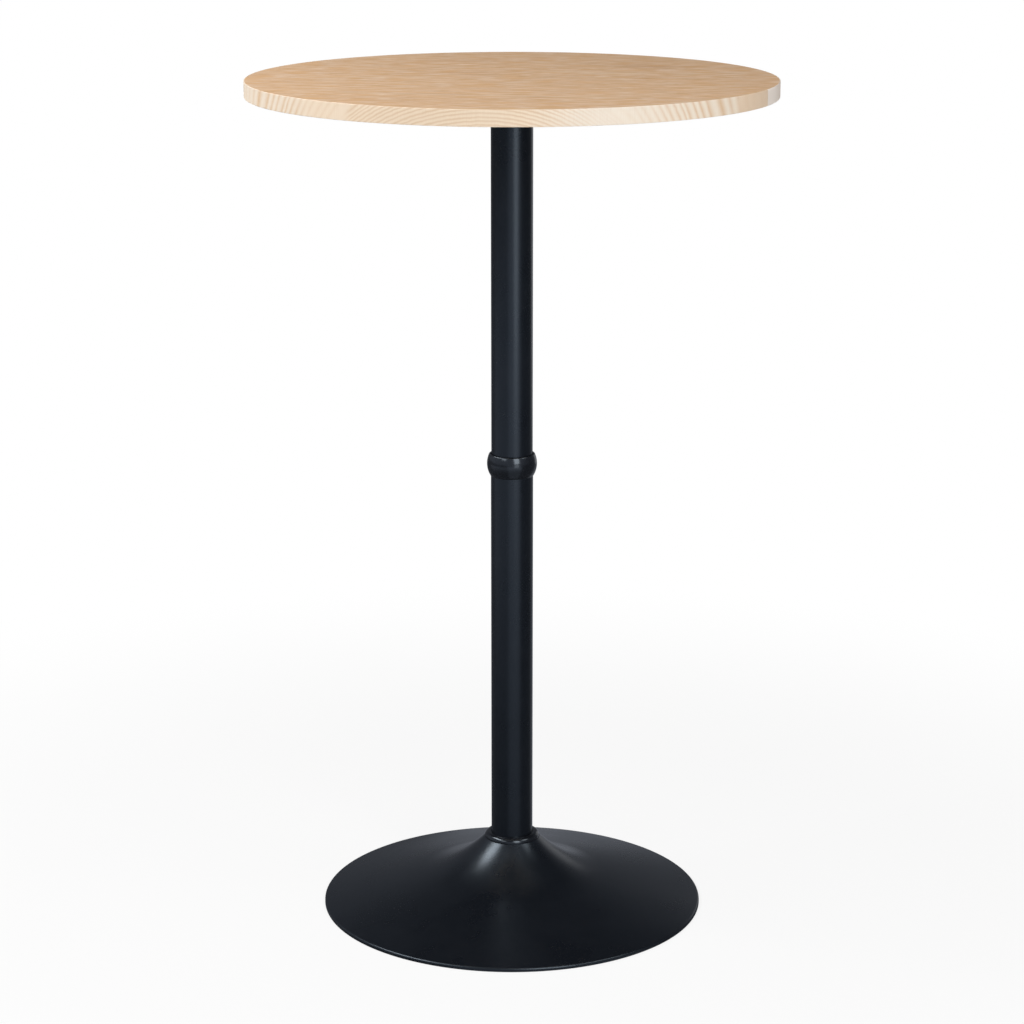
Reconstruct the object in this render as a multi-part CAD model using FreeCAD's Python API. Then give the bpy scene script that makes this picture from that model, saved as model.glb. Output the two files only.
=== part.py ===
import FreeCAD, Part
import math
import os

# Bar table: a round wood-faced top on a two-piece steel column, over a spun trumpet base.
# Millimetres, +Z up. The origin is on the floor, at the centre of the base.

# Whole table
TABLE_HEIGHT = 983.0
TOP_DIAMETER = 600.0
BASE_DIAMETER = 450.0
SLIP_FIT = 0.05      # radial room of a threaded, pressed or glued joint
BOLT_ROOM = 0.3      # radial room of a bolt in a plain hole
OVERRUN = 1.0        # how far a cutting shape passes the face that it cuts

# Tabletop: board, face and backing veneers, edge band
TOP_THICKNESS = 18.0
FACE_VENEER = 0.6
BACKING_VENEER = 0.6
EDGE_BAND = 1.0
EDGE_EASING = 0.6
SEAM_GAP = 0.3
SEAM_ANGLE = 67.5    # degrees from the front, towards +X

# Threaded inserts in the board's underside
INSERT_DIAMETER = 10.0
INSERT_LENGTH = 13.0
INSERT_SPARE_DEPTH = 1.5

# Mounting plate under the top: a pressed disc whose dish clears the column bolt's head
PLATE_DIAMETER = 220.0
PLATE_THICKNESS = 3.0
PLATE_BOLT_CIRCLE_DIAMETER = 180.0
PLATE_BOLT_COUNT = 4
PLATE_EDGE_ROUND = 0.8
DISH_DEPTH = 12.0
DISH_FLOOR_DIAMETER = 66.0
DISH_WALL_SLOPE = 50.0
DISH_BEND = 3.0

# Bolts that hold the plate to the top
PLATE_BOLT = 6.0
PLATE_BOLT_LENGTH = 16.0
PLATE_BOLT_HEAD = 4.0
PLATE_BOLT_FLATS = 10.0
PLATE_WASHER = 14.0
PLATE_WASHER_THICKNESS = 1.6

# Bolt that holds the plate to the column
COLUMN_BOLT = 10.0
COLUMN_BOLT_LENGTH = 20.0
COLUMN_BOLT_HEAD = 6.4
COLUMN_BOLT_FLATS = 16.0
COLUMN_WASHER = 24.0
COLUMN_WASHER_THICKNESS = 2.0

# Column: two tubes that meet inside the collar, each closed by welded plugs
UPPER_TUBE = 48.0
LOWER_TUBE = 49.0
TUBE_WALL = 1.5
TOP_PLUG_THICKNESS = 8.0
JOINT_PLUG_THICKNESS = 10.0
FOOT_PLUG_THICKNESS = 12.0
JOINT_HEIGHT = 539.0
JOINT_STUD = 12.0
JOINT_STUD_LENGTH = 40.0

# Collar: a moulded barrel with a web between the tube ends and a lip that stands off the tube
COLLAR_DIAMETER = 58.0
COLLAR_RISE = 12.0
COLLAR_DROP = 14.0
COLLAR_WEB = 3.0
COLLAR_FOOT_WALL = 0.45
COLLAR_CROWN = 28.4
COLLAR_LIP_ROUND = 1.5
COLLAR_NOTCH_WIDTH = 1.0
COLLAR_NOTCH_DEPTH = 3.0

# Trumpet shell: one sheet, a neck that flares into a straight skirt with a rolled rim
SHELL_SHEET = 1.5
NECK_DIAMETER = 66.0
NECK_HEIGHT = 79.8
NECK_SLOPE = 47.0
SKIRT_SLOPE = 14.2
RIM_HEIGHT = 5.4
RIM_ROLL = 2.5
RIM_LIFT = 0.8

# Ring that closes the gap between the shell's neck and the tube
BEAD_WIDTH = 8.0
BEAD_HEIGHT = 6.4
BEAD_ROUND_SHARE = 0.93
BEAD_LIP_ROUND = 0.4
BEAD_SLEEVE_DEPTH = 8.0
BEAD_SLEEVE_ROOM = 0.2

# Ballast plate, tacked inside the shell, with the countersunk bolt that draws the column down
BALLAST_THICKNESS = 8.0
BALLAST_LIFT = 5.0
BALLAST_ROOM = 0.2
BALLAST_CHAMFER = 0.8
TACK_LEG = 5.0
TACK_LENGTH = 26.0
TACK_COUNT = 6
BASE_BOLT = 12.0
BASE_BOLT_LENGTH = 25.0
BASE_BOLT_HEAD_DIAMETER = 24.0
BASE_BOLT_SOCKET = 8.0
BASE_BOLT_SOCKET_DEPTH = 4.5

# Foot ring under the rim, the only piece that meets the floor
FOOT_RING_WIDTH = 8.0
FOOT_RING_ROUND = 0.7

# Places that follow from the sizes above
TOP_UNDERSIDE = TABLE_HEIGHT - TOP_THICKNESS
PLATE_UNDERSIDE = TOP_UNDERSIDE - PLATE_THICKNESS
COLUMN_TOP = PLATE_UNDERSIDE - DISH_DEPTH
UPPER_TUBE_FOOT = JOINT_HEIGHT + COLLAR_WEB / 2
LOWER_TUBE_TOP = JOINT_HEIGHT - COLLAR_WEB / 2
BALLAST_TOP = BALLAST_LIFT + BALLAST_THICKNESS
BOARD_RADIUS = TOP_DIAMETER / 2 - EDGE_BAND
HOLE_AROUND_INSERT = INSERT_DIAMETER / 2 + SLIP_FIT

UP = FreeCAD.Vector(0, 0, 1)
ORIGIN = FreeCAD.Vector(0, 0, 0)


# Building blocks

def at(radius, height):
    """A point of a turned profile."""
    return FreeCAD.Vector(radius, 0, height)


def line(start, end):
    return Part.LineSegment(start, end).toShape()


def turned(edges):
    """A solid of revolution about Z from the edges of a closed profile."""
    wire = Part.Wire(Part.__sortEdges__(edges))
    return Part.Face(wire).revolve(ORIGIN, UP, 360)


def rounded_outline(corners):
    """Edges of a closed outline. Each corner is (radius from the axis, height, rounding)."""
    points = [at(r, z) for r, z, _ in corners]
    starts, ends, edges = [], [], []
    for i, (_, _, rounding) in enumerate(corners):
        before = (points[i - 1] - points[i]).normalize()
        after = (points[(i + 1) % len(points)] - points[i]).normalize()
        half = before.getAngle(after) / 2
        reach = rounding / math.tan(half)
        starts.append(points[i] + before * reach)
        ends.append(points[i] + after * reach)
        if rounding > 0:
            inward = (before + after).normalize()
            middle = points[i] + inward * (rounding / math.sin(half) - rounding)
            edges.append(Part.Arc(starts[i], middle, ends[i]).toShape())
    for i in range(len(points)):
        edges.append(line(ends[i - 1], starts[i]))
    return edges


def turned_outline(*corners):
    return turned(rounded_outline(corners))


def disc(radius, bottom, top):
    return Part.makeCylinder(radius, top - bottom, at(0, bottom))


def ring(inner, outer, bottom, top):
    return disc(outer, bottom, top).cut(disc(inner, bottom - OVERRUN, top + OVERRUN))


def hexagon(across_flats, bottom, top):
    """An upright hexagonal prism."""
    corner_radius = across_flats / 2 / math.cos(math.pi / 6)
    corners = []
    for i in range(7):
        angle = i * math.pi / 3
        x, y = corner_radius * math.cos(angle), corner_radius * math.sin(angle)
        corners.append(FreeCAD.Vector(x, y, bottom))
    return Part.Face(Part.makePolygon(corners)).extrude(UP * (top - bottom))


def around_axis(shape, count, radius=0.0, first_angle=0.0):
    """Copies of a shape, spaced evenly round Z at a radius."""
    copies = []
    for i in range(count):
        copy = shape.copy()
        copy.translate(at(radius, 0))
        copy.rotate(ORIGIN, UP, first_angle + i * 360 / count)
        copies.append(copy)
    return copies


def hex_bolt(diameter, length, flats, head):
    """A hexagon-head bolt, head down, with its shank rising from height zero."""
    crown_radius = flats / 2
    crown_foot = crown_radius + head / 2
    crown = turned_outline((0, -head, 0), (crown_radius, -head, 0), (crown_foot, -head / 2, 0),
                           (crown_foot, 0, 0), (0, 0, 0))
    radius, tip = diameter / 2, diameter / 8
    shank = turned_outline((0, -head / 2, 0), (radius, -head / 2, 0), (radius, length - tip, 0),
                           (radius - tip, length, 0), (0, length, 0))
    return hexagon(flats, -head, 0).common(crown).fuse(shank).removeSplitter()


# Tabletop

def tabletop_core():
    board = disc(BOARD_RADIUS, TOP_UNDERSIDE + BACKING_VENEER, TABLE_HEIGHT - FACE_VENEER)
    hole_end = TOP_UNDERSIDE + INSERT_LENGTH + INSERT_SPARE_DEPTH
    hole = disc(HOLE_AROUND_INSERT, TOP_UNDERSIDE - OVERRUN, hole_end)
    return board.cut(Part.makeCompound(at_plate_bolts(hole)))


def top_veneer():
    return disc(BOARD_RADIUS, TABLE_HEIGHT - FACE_VENEER, TABLE_HEIGHT)


def backing_veneer():
    inner_face = TOP_UNDERSIDE + BACKING_VENEER
    sheet = disc(BOARD_RADIUS, TOP_UNDERSIDE, inner_face)
    hole = disc(HOLE_AROUND_INSERT, TOP_UNDERSIDE - OVERRUN, inner_face + OVERRUN)
    return sheet.cut(Part.makeCompound(at_plate_bolts(hole)))


def edge_band():
    """The band round the board's edge, eased at its outer arrises and open at its butt seam."""
    inner, outer = BOARD_RADIUS + SLIP_FIT, TOP_DIAMETER / 2
    band = turned_outline((inner, TOP_UNDERSIDE, 0), (outer, TOP_UNDERSIDE, EDGE_EASING),
                          (outer, TABLE_HEIGHT, EDGE_EASING), (inner, TABLE_HEIGHT, 0))
    seam = Part.makeBox(EDGE_BAND + 2 * OVERRUN, SEAM_GAP, TOP_THICKNESS + 2 * OVERRUN,
                        FreeCAD.Vector(BOARD_RADIUS - OVERRUN, -SEAM_GAP / 2, TOP_UNDERSIDE - OVERRUN))
    seam.rotate(ORIGIN, UP, SEAM_ANGLE - 90)
    return band.cut(seam)


def at_plate_bolts(shape):
    return around_axis(shape, PLATE_BOLT_COUNT, PLATE_BOLT_CIRCLE_DIAMETER / 2, 180 / PLATE_BOLT_COUNT)


def insert_nuts():
    nut = ring(PLATE_BOLT / 2 + SLIP_FIT, INSERT_DIAMETER / 2, TOP_UNDERSIDE, TOP_UNDERSIDE + INSERT_LENGTH)
    return Part.makeCompound(at_plate_bolts(nut))


# Mounting plate and its fasteners

def mounting_plate():
    """A pressed disc of even thickness: rim flat, sloping dish wall, dish floor on the column's top."""
    wall = math.radians(DISH_WALL_SLOPE)
    floor_radius = DISH_FLOOR_DIAMETER / 2
    rim_start = floor_radius + DISH_DEPTH / math.tan(wall)
    lean = PLATE_THICKNESS * math.tan(wall / 2)
    edge = PLATE_DIAMETER / 2
    hole = COLUMN_BOLT / 2 + BOLT_ROOM
    dish_floor = COLUMN_TOP + PLATE_THICKNESS
    outer_bend = DISH_BEND + PLATE_THICKNESS
    plate = turned_outline(
        (hole, COLUMN_TOP, 0), (floor_radius, COLUMN_TOP, outer_bend),
        (rim_start, PLATE_UNDERSIDE, DISH_BEND), (edge, PLATE_UNDERSIDE, PLATE_EDGE_ROUND),
        (edge, TOP_UNDERSIDE, 0), (rim_start - lean, TOP_UNDERSIDE, outer_bend),
        (floor_radius - lean, dish_floor, DISH_BEND), (hole, dish_floor, 0))
    bolt_hole = disc(PLATE_BOLT / 2 + BOLT_ROOM, PLATE_UNDERSIDE - OVERRUN, TOP_UNDERSIDE + OVERRUN)
    return plate.cut(Part.makeCompound(at_plate_bolts(bolt_hole)))


def plate_washers():
    seat = PLATE_UNDERSIDE - PLATE_WASHER_THICKNESS
    washer = ring(PLATE_BOLT / 2 + BOLT_ROOM, PLATE_WASHER / 2, seat, PLATE_UNDERSIDE)
    return Part.makeCompound(at_plate_bolts(washer))


def plate_bolts():
    bolt = hex_bolt(PLATE_BOLT, PLATE_BOLT_LENGTH, PLATE_BOLT_FLATS, PLATE_BOLT_HEAD)
    bolt.translate(at(0, PLATE_UNDERSIDE - PLATE_WASHER_THICKNESS))
    return Part.makeCompound(at_plate_bolts(bolt))


def column_washer():
    seat = COLUMN_TOP + PLATE_THICKNESS
    return ring(COLUMN_BOLT / 2 + BOLT_ROOM, COLUMN_WASHER / 2, seat, seat + COLUMN_WASHER_THICKNESS)


def column_bolt():
    bolt = hex_bolt(COLUMN_BOLT, COLUMN_BOLT_LENGTH, COLUMN_BOLT_FLATS, COLUMN_BOLT_HEAD)
    bolt.rotate(ORIGIN, FreeCAD.Vector(1, 0, 0), 180)
    bolt.translate(at(0, COLUMN_TOP + PLATE_THICKNESS + COLUMN_WASHER_THICKNESS))
    return bolt


# Column

def tube(diameter, bottom, top):
    return ring(diameter / 2 - TUBE_WALL, diameter / 2, bottom, top)


def plug(tube_diameter, thread, bottom, top):
    """A threaded disc welded flush into the end of a tube."""
    return ring(thread / 2 + SLIP_FIT, tube_diameter / 2 - TUBE_WALL - SLIP_FIT, bottom, top)


def joint_stud():
    end = JOINT_STUD / 8
    half = JOINT_STUD_LENGTH / 2
    core = JOINT_STUD / 2 - end
    return turned_outline((0, JOINT_HEIGHT - half, 0), (core, JOINT_HEIGHT - half, 0),
                          (JOINT_STUD / 2, JOINT_HEIGHT - half + end, 0),
                          (JOINT_STUD / 2, JOINT_HEIGHT + half - end, 0),
                          (core, JOINT_HEIGHT + half, 0), (0, JOINT_HEIGHT + half, 0))


def arc_from_belly(belly, end):
    """An arc that leaves the belly upright, with its centre level with it, and passes through the end."""
    inset = belly.x - end.x
    rise = end.z - belly.z
    radius = (inset * inset + rise * rise) / (2 * inset)
    half_turn = math.asin(rise / radius) / 2
    middle = at(belly.x - radius * (1 - math.cos(half_turn)), belly.z + radius * math.sin(half_turn))
    return Part.Arc(belly, middle, end).toShape()


def along_normal(centre, radius, slope):
    """The point of a circle where its outward normal leans from the upright by the slope."""
    return centre + at(radius * math.sin(slope), radius * math.cos(slope))


def sloped_arc(centre, radius, first_slope, last_slope):
    middle = (first_slope + last_slope) / 2
    return Part.Arc(along_normal(centre, radius, first_slope), along_normal(centre, radius, middle),
                    along_normal(centre, radius, last_slope)).toShape()


def collar():
    """Barrel outside with a rounded lip, stepped bores for the two tubes and a web between their ends."""
    upper_bore = UPPER_TUBE / 2 + SLIP_FIT
    lower_bore = LOWER_TUBE / 2 + SLIP_FIT
    stud_hole = JOINT_STUD / 2 + BOLT_ROOM
    top, foot = JOINT_HEIGHT + COLLAR_RISE, JOINT_HEIGHT - COLLAR_DROP
    belly = at(COLLAR_DIAMETER / 2, JOINT_HEIGHT)
    foot_edge = at(lower_bore + COLLAR_FOOT_WALL, foot)
    crown_centre = belly - at(COLLAR_CROWN, 0)
    lip_slope = math.acos((COLLAR_RISE - COLLAR_LIP_ROUND) / (COLLAR_CROWN - COLLAR_LIP_ROUND))
    lip = along_normal(crown_centre, COLLAR_CROWN - COLLAR_LIP_ROUND, lip_slope)
    lip_top = along_normal(lip, COLLAR_LIP_ROUND, 0)
    notch = upper_bore + COLLAR_NOTCH_WIDTH
    notch_floor = top - COLLAR_NOTCH_DEPTH
    inside = [lip_top, at(notch, top), at(notch, notch_floor), at(upper_bore, notch_floor),
              at(upper_bore, UPPER_TUBE_FOOT), at(stud_hole, UPPER_TUBE_FOOT), at(stud_hole, LOWER_TUBE_TOP),
              at(lower_bore, LOWER_TUBE_TOP), at(lower_bore, foot), foot_edge]
    edges = [line(a, b) for a, b in zip(inside, inside[1:])]
    edges.append(arc_from_belly(belly, foot_edge))
    edges.append(sloped_arc(crown_centre, COLLAR_CROWN, math.pi / 2, lip_slope))
    edges.append(sloped_arc(lip, COLLAR_LIP_ROUND, lip_slope, 0))
    return turned(edges)


# Trumpet base

class Trumpet:
    """The shell's skin from neck to rim: a hollow flare, a straight skirt and a rolled rim.

    The flare leaves the neck at its slope and meets the skirt without a kink. Its radius is how far the
    neck's edge stands off the skirt's line, over one less the cosine of the turn between the two slopes.
    """

    def __init__(self):
        neck_slope, self.skirt_slope = math.radians(NECK_SLOPE), math.radians(SKIRT_SLOPE)
        neck_edge = at(NECK_DIAMETER / 2, NECK_HEIGHT)
        self.roll_centre = at(BASE_DIAMETER / 2 - RIM_ROLL, RIM_HEIGHT - RIM_ROLL)
        skirt_end = along_normal(self.roll_centre, RIM_ROLL, self.skirt_slope)
        stand_off = (neck_edge - skirt_end).dot(along_normal(ORIGIN, 1, self.skirt_slope))
        self.flare_radius = stand_off / (1 - math.cos(neck_slope - self.skirt_slope))
        self.flare_centre = along_normal(neck_edge, self.flare_radius, neck_slope)

    def skin(self, depth):
        """The edges of the skin at a depth below the outer one, then its first and last points."""
        flare, roll = self.flare_radius + depth, RIM_ROLL - depth
        neck_slope = math.acos((self.flare_centre.z - NECK_HEIGHT) / flare)
        brim = BASE_DIAMETER / 2 - depth
        first, last = along_normal(self.flare_centre, -flare, neck_slope), at(brim, RIM_LIFT)
        skirt_start = along_normal(self.flare_centre, -flare, self.skirt_slope)
        skirt_end = along_normal(self.roll_centre, roll, self.skirt_slope)
        edges = [sloped_arc(self.flare_centre, -flare, neck_slope, self.skirt_slope),
                 line(skirt_start, skirt_end),
                 sloped_arc(self.roll_centre, roll, self.skirt_slope, math.pi / 2),
                 line(at(brim, self.roll_centre.z), last)]
        return edges, first, last

    def inside_radius(self, height):
        """Where the inner face of the sheet passes a height."""
        flare = self.flare_radius + SHELL_SHEET
        skirt_start = along_normal(self.flare_centre, -flare, self.skirt_slope)
        if height < skirt_start.z:
            return skirt_start.x + (skirt_start.z - height) / math.tan(self.skirt_slope)
        drop = self.flare_centre.z - height
        return self.flare_centre.x - math.sqrt(flare * flare - drop * drop)

    def shell(self):
        outer, outer_neck, outer_brim = self.skin(0)
        inner, inner_neck, inner_brim = self.skin(SHELL_SHEET)
        return turned(outer + inner + [line(outer_neck, inner_neck), line(outer_brim, inner_brim)])

    def hollow(self):
        """Everything under the sheet, down to the floor. It trims what is fitted inside the shell."""
        inner, neck, brim = self.skin(SHELL_SHEET)
        closing = [brim, at(brim.x, 0), ORIGIN, at(0, NECK_HEIGHT), neck]
        return turned(inner + [line(a, b) for a, b in zip(closing, closing[1:])])


def neck_ring(trumpet):
    """A quarter-round bead on the sheet's edge, with a sleeve that centres the shell on the tube."""
    inner = LOWER_TUBE / 2 + SLIP_FIT
    outer = inner + BEAD_WIDTH
    crown = BEAD_ROUND_SHARE * min(BEAD_WIDTH, BEAD_HEIGHT)
    sleeve = trumpet.skin(SHELL_SHEET)[1].x - BEAD_SLEEVE_ROOM
    foot, top = NECK_HEIGHT - BEAD_SLEEVE_DEPTH, NECK_HEIGHT + BEAD_HEIGHT
    return turned_outline((inner, foot, 0), (sleeve, foot, 0), (sleeve, NECK_HEIGHT, 0),
                          (outer, NECK_HEIGHT, 0), (outer, top, crown), (inner, top, BEAD_LIP_ROUND))


def base_bolt_form(room):
    """The countersunk bolt's outside, grown by a room, with its head's face at the ballast's foot."""
    shank, head = BASE_BOLT / 2 + room, BASE_BOLT_HEAD_DIAMETER / 2 + room
    cone_end, end = BALLAST_LIFT + head - shank, BALLAST_LIFT + BASE_BOLT_LENGTH
    return turned_outline((0, BALLAST_LIFT, 0), (head, BALLAST_LIFT, 0), (shank, cone_end, 0),
                          (shank, end, 0), (0, end, 0))


def base_bolt():
    socket = hexagon(BASE_BOLT_SOCKET, BALLAST_LIFT - OVERRUN, BALLAST_LIFT + BASE_BOLT_SOCKET_DEPTH)
    return base_bolt_form(0).cut(socket)


def ballast_radius(trumpet):
    return trumpet.inside_radius(BALLAST_TOP) - BALLAST_ROOM


def ballast_plate(trumpet):
    edge = ballast_radius(trumpet)
    chamfer_end = BALLAST_LIFT + BALLAST_CHAMFER
    plate = turned_outline((0, BALLAST_LIFT, 0), (edge - BALLAST_CHAMFER, BALLAST_LIFT, 0),
                           (edge, chamfer_end, 0), (edge, BALLAST_TOP, 0), (0, BALLAST_TOP, 0))
    return plate.cut(base_bolt_form(SLIP_FIT))


def tack_welds(trumpet):
    """Short fillet welds in the corner between the ballast's edge and the sheet above it."""
    edge = ballast_radius(trumpet)
    corner = [at(edge, BALLAST_TOP - TACK_LEG), at(edge + TACK_LEG, BALLAST_TOP),
              at(edge + TACK_LEG, BALLAST_TOP + TACK_LEG), at(edge, BALLAST_TOP + TACK_LEG)]
    section = Part.Face(Part.makePolygon(corner + corner[:1]))
    sweep = math.degrees(TACK_LENGTH / edge)
    bead = section.revolve(ORIGIN, UP, sweep).common(trumpet.hollow())
    return Part.makeCompound(around_axis(bead, TACK_COUNT, first_angle=-sweep / 2))


def foot_ring(trumpet):
    """A flat ring under the rim, trimmed to the sheet above it."""
    outer = BASE_DIAMETER / 2 - SHELL_SHEET - SLIP_FIT
    inner = outer - FOOT_RING_WIDTH
    blank = turned_outline((inner, 0, FOOT_RING_ROUND), (outer, 0, FOOT_RING_ROUND),
                           (outer, NECK_HEIGHT, 0), (inner, NECK_HEIGHT, 0))
    return blank.common(trumpet.hollow())


def table():
    """Every piece by name, from the top down."""
    trumpet = Trumpet()
    upper_foot_plug_top = UPPER_TUBE_FOOT + JOINT_PLUG_THICKNESS
    lower_top_plug_foot = LOWER_TUBE_TOP - JOINT_PLUG_THICKNESS
    lower_foot_plug_top = BALLAST_TOP + FOOT_PLUG_THICKNESS
    return {
        "tabletop_core": tabletop_core(),
        "top_veneer": top_veneer(),
        "backing_veneer": backing_veneer(),
        "edge_band": edge_band(),
        "insert_nuts": insert_nuts(),
        "mounting_plate": mounting_plate(),
        "plate_washers": plate_washers(),
        "plate_bolts": plate_bolts(),
        "column_washer": column_washer(),
        "column_bolt": column_bolt(),
        "upper_tube": tube(UPPER_TUBE, UPPER_TUBE_FOOT, COLUMN_TOP),
        "upper_tube_top_plug": plug(UPPER_TUBE, COLUMN_BOLT, COLUMN_TOP - TOP_PLUG_THICKNESS, COLUMN_TOP),
        "upper_tube_foot_plug": plug(UPPER_TUBE, JOINT_STUD, UPPER_TUBE_FOOT, upper_foot_plug_top),
        "collar": collar(),
        "joint_stud": joint_stud(),
        "lower_tube": tube(LOWER_TUBE, BALLAST_TOP, LOWER_TUBE_TOP),
        "lower_tube_top_plug": plug(LOWER_TUBE, JOINT_STUD, lower_top_plug_foot, LOWER_TUBE_TOP),
        "lower_tube_foot_plug": plug(LOWER_TUBE, BASE_BOLT, BALLAST_TOP, lower_foot_plug_top),
        "neck_ring": neck_ring(trumpet),
        "base_shell": trumpet.shell(),
        "ballast_plate": ballast_plate(trumpet),
        "tack_welds": tack_welds(trumpet),
        "base_bolt": base_bolt(),
        "foot_ring": foot_ring(trumpet),
    }


os.makedirs("parts", exist_ok=True)
for name, shape in table().items():
    shape.exportStep(f"parts/{name}.step")
    print(f"{name}: {len(shape.Solids)} solids, {shape.Volume:.0f} cubic mm, valid {shape.isValid()}")
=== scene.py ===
import bpy
import bmesh
import math
import numpy as np
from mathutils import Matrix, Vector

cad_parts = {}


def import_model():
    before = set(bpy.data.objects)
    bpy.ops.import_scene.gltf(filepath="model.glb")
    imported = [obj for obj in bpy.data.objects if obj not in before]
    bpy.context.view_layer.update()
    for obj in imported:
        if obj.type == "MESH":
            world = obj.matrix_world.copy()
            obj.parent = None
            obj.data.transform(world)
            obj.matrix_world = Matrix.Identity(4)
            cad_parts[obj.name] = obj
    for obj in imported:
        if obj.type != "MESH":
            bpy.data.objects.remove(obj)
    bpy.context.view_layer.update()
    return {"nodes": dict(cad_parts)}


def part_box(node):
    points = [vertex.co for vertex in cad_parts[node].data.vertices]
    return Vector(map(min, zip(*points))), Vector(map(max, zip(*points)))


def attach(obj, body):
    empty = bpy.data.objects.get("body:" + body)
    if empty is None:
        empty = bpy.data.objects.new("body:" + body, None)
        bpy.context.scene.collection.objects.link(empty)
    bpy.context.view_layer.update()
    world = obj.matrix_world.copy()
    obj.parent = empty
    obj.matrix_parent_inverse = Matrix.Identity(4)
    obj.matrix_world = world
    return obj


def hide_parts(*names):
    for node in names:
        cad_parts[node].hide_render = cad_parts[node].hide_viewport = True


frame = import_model()

# Bar table: a round wood-faced top on a black two-piece column, over a black spun trumpet base.
# Metres, +Z up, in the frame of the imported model. Every piece that shows is a smooth surface worked out from a
# formula, and takes the place of its solid. The flat backing and the pieces inside keep their solids and get their
# finishes here.


# Sizes that the frame gives

def reach(node):
    """The radius of a round node, to a hundredth of a millimetre."""
    low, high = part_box(node)
    return round(max(high.x, -low.x), 5)


def foot(node):
    return round(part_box(node)[0].z, 5)


def top(node):
    return round(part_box(node)[1].z, 5)


TOP_RADIUS = reach("edge_band")
FACE_RADIUS = reach("top_veneer")
TABLE_HEIGHT = top("top_veneer")
TOP_UNDERSIDE = foot("backing_veneer")
FACE_FOOT = foot("top_veneer")
PLATE_RADIUS = reach("mounting_plate")
PLATE_UNDERSIDE = top("plate_washers")
COLUMN_TOP = top("upper_tube")
UPPER_TUBE_RADIUS = reach("upper_tube")
UPPER_TUBE_FOOT = foot("upper_tube")
LOWER_TUBE_RADIUS = reach("lower_tube")
LOWER_TUBE_TOP = top("lower_tube")
LOWER_TUBE_FOOT = foot("lower_tube")
COLLAR_RADIUS = reach("collar")
COLLAR_FOOT = foot("collar")
COLLAR_TOP = top("collar")
NECK_HEIGHT = top("base_shell")
SHELL_FOOT = foot("base_shell")
BASE_RADIUS = reach("base_shell")
BEAD_RADIUS = reach("neck_ring")
BEAD_TOP = top("neck_ring")
BEAD_FOOT = foot("neck_ring")
BALLAST_RADIUS = reach("ballast_plate")
BALLAST_FOOT = foot("ballast_plate")
BALLAST_TOP = top("ballast_plate")
FOOT_RING_RADIUS = reach("foot_ring")

# Details of the pieces
SLIP_FIT = 0.00005
EDGE_EASING = 0.0006
FACE_ARRIS = 0.00012
SEAM_GAP = 0.0003
SEAM_ANGLE = math.radians(67.5)
PLATE_THICKNESS = 0.003
PLATE_EDGE_ROUND = 0.0008
PLATE_HOLE = 0.0053
DISH_FLOOR_RADIUS = 0.033
DISH_WALL_SLOPE = math.radians(50)
DISH_BEND = 0.003
PLATE_BOLT_CIRCLE_RADIUS = 0.090
PLATE_BOLT_COUNT = 4
PLATE_BOLT_RADIUS = 0.003
PLATE_BOLT_LENGTH = 0.016
PLATE_BOLT_HEAD = 0.004
PLATE_BOLT_FLATS = 0.010
PLATE_BOLT_CROWN_SHARE = 0.95
PLATE_BOLT_CROWN_SLOPE = math.radians(30)
PITCHES_PER_RADIUS = 3
ROWS_PER_PITCH = 6
THREAD_DEPTH_SHARE = 0.3
BOLT_TIP_SHARE = 0.75
PLATE_WASHER_RADIUS = 0.007
PLATE_WASHER_THICKNESS = 0.0016
PLATE_WASHER_HOLE = 0.0033
WASHER_ROUND = 0.0003
TUBE_WALL = 0.0015
TUBE_END_ROUND = 0.0002
JOINT_HEIGHT = 0.539
STUD_HOLE = 0.0063
COLLAR_FOOT_WALL = 0.00045
COLLAR_CROWN = 0.0284
COLLAR_LIP_ROUND = 0.0015
COLLAR_NOTCH_WIDTH = 0.001
COLLAR_NOTCH_DEPTH = 0.003
SHELL_SHEET = 0.0015
NECK_RADIUS = 0.033
NECK_SLOPE = math.radians(47)
SKIRT_SLOPE = math.radians(14.2)
RIM_HEIGHT = 0.0054
RIM_ROLL = 0.0025
BEAD_ROUND_SHARE = 0.93
BEAD_LIP_ROUND = 0.0004
BEAD_SLEEVE_ROOM = 0.0002
BALLAST_CHAMFER = 0.0008
TACK_LEG = 0.005
TACK_LENGTH = 0.026
TACK_COUNT = 6
TACK_RIPPLE = 0.0014
TACK_BULGE_SHARE = 0.16
TACK_RIPPLE_SHARE = 0.06
TACK_END_POWER = 6
TACK_END_SHARE = 0.999
BASE_BOLT_RADIUS = 0.006
BASE_BOLT_TOP = top("base_bolt")
BASE_BOLT_HEAD_RADIUS = reach("base_bolt")
BASE_BOLT_SOCKET = 0.008
BASE_BOLT_SOCKET_DEPTH = 0.0045
BASE_BOLT_ARRIS = 0.0003
FOOT_RING_WIDTH = 0.008
FOOT_RING_ROUND = 0.0007

# How finely the surfaces are cut
LARGE_TURNS = 384
SMALL_TURNS = 160
BOLT_TURNS = 72
FLARE_POINTS = 78
SKIRT_POINTS = 26
ROLL_POINTS = 15
BARREL_POINTS = 15
TACK_ROWS = 160
TACK_COLUMNS = 22
ARC_STEP = math.radians(9)
SHARP_ANGLE = math.radians(34)
SUPPORT = 0.0004


# Surfaces from grids of points

def grid_faces(shape, wrap_rows, wrap_columns):
    """Indices of the quads between neighbouring rows and columns of a grid."""
    index = np.arange(shape[0] * shape[1]).reshape(shape[:2])
    if wrap_rows:
        index = np.concatenate([index, index[:1]], 0)
    if wrap_columns:
        index = np.concatenate([index, index[:, :1]], 1)
    corners = [index[:-1, :-1], index[:-1, 1:], index[1:, 1:], index[1:, :-1]]
    return np.stack(corners, -1).reshape(-1, 4)


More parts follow.
